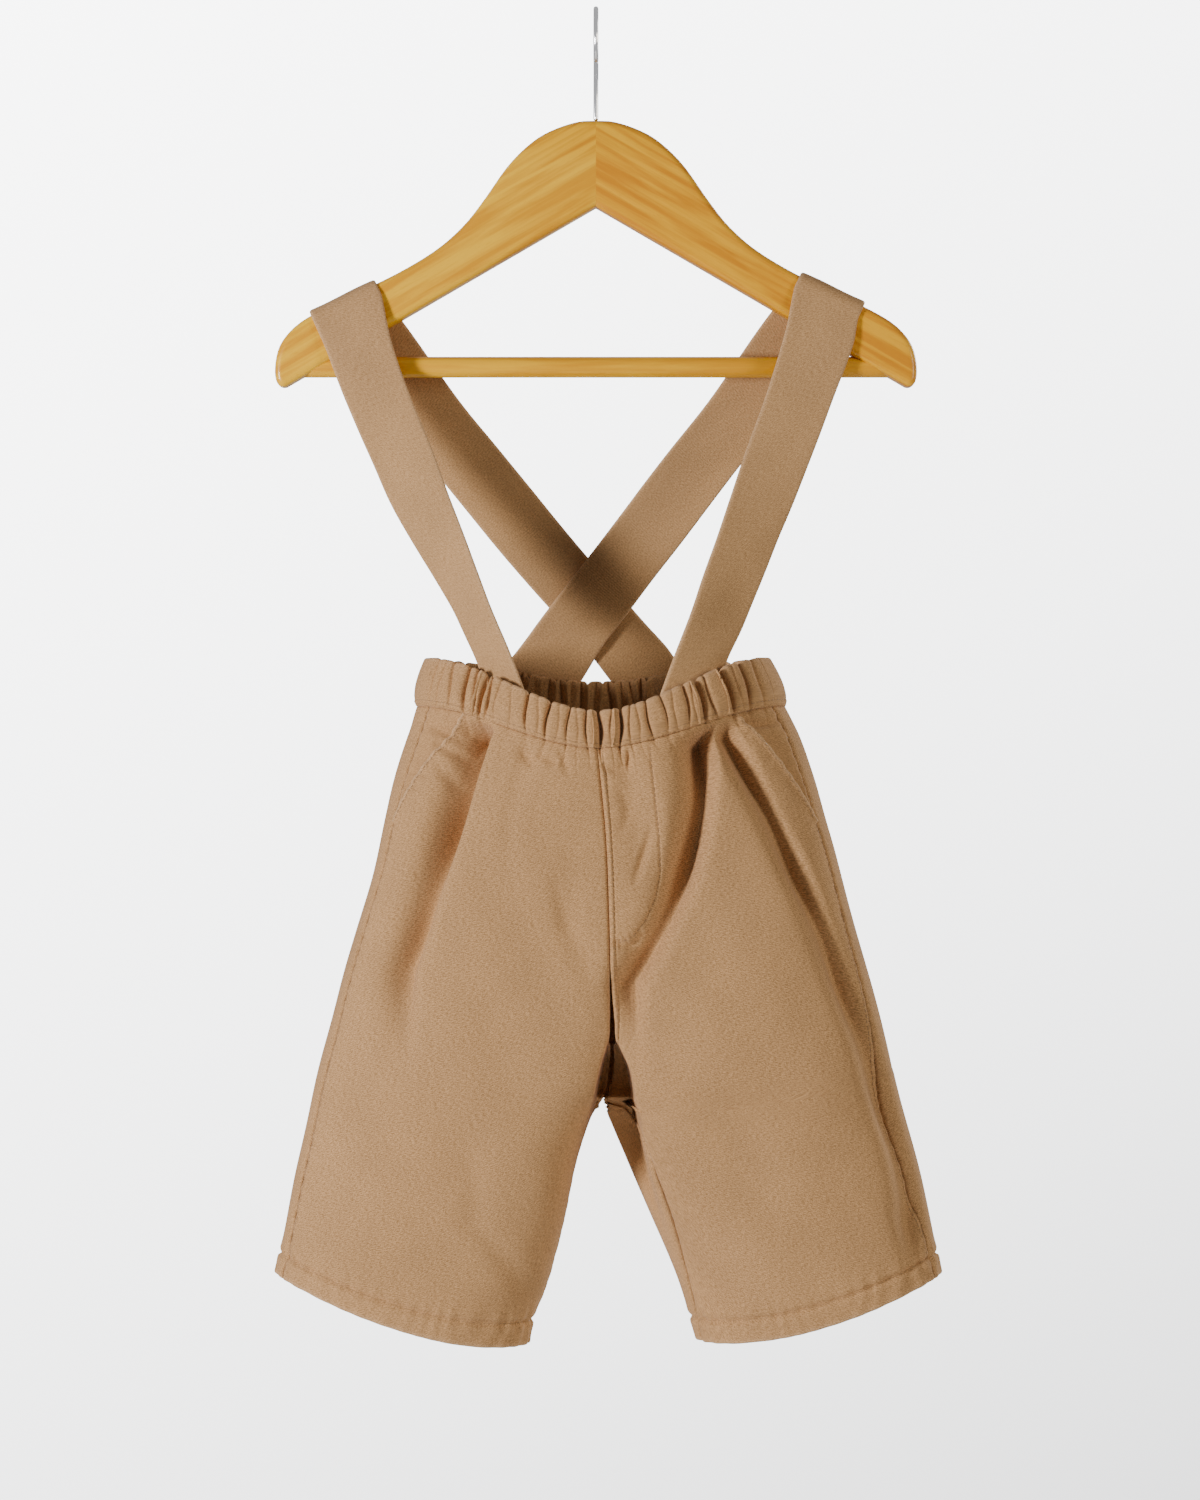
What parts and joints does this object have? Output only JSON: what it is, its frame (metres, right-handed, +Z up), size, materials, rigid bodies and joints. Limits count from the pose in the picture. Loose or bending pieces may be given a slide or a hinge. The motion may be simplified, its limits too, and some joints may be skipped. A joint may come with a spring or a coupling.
{
  "type": "toddler bermuda shorts with crossed-back straps on a wooden hanger",
  "caption": "Pull-on bermuda shorts in khaki twill with a gathered elastic waist, slanted pockets, a mock fly and straps that cross at the back, hung over a small wooden clothes hanger.",
  "frame": {"origin": "inside top of the hanger's hook, where a rail carries it", "axes": "+Z up, the front faces -Y, +X to the right seen from the front"},
  "size_m": [0.3128, 0.0965, 0.6269],
  "materials": {
    "shorts_twill": "matte cotton twill with a fine diagonal",
    "strap_twill": "matte cotton twill, two layers",
    "lacquered_wood": "glossy clear lacquer over honey-coloured wood",
    "hook_chrome": "bright plated wire"
  },
  "bodies": {
    "root": {"front_panel_left": "shorts_twill", "front_panel_right": "shorts_twill", "back_panel_left": "shorts_twill", "back_panel_right": "shorts_twill", "pocket_facing_left": "shorts_twill", "pocket_facing_right": "shorts_twill", "fly_facing": "shorts_twill", "waistband_front": "shorts_twill", "waistband_back": "shorts_twill", "strap_left": "strap_twill", "strap_right": "strap_twill", "hanger_arm_left": "lacquered_wood", "hanger_arm_right": "lacquered_wood", "hanger_bar": "lacquered_wood", "hanger_hook": "hook_chrome"}
  },
  "joints": []
}
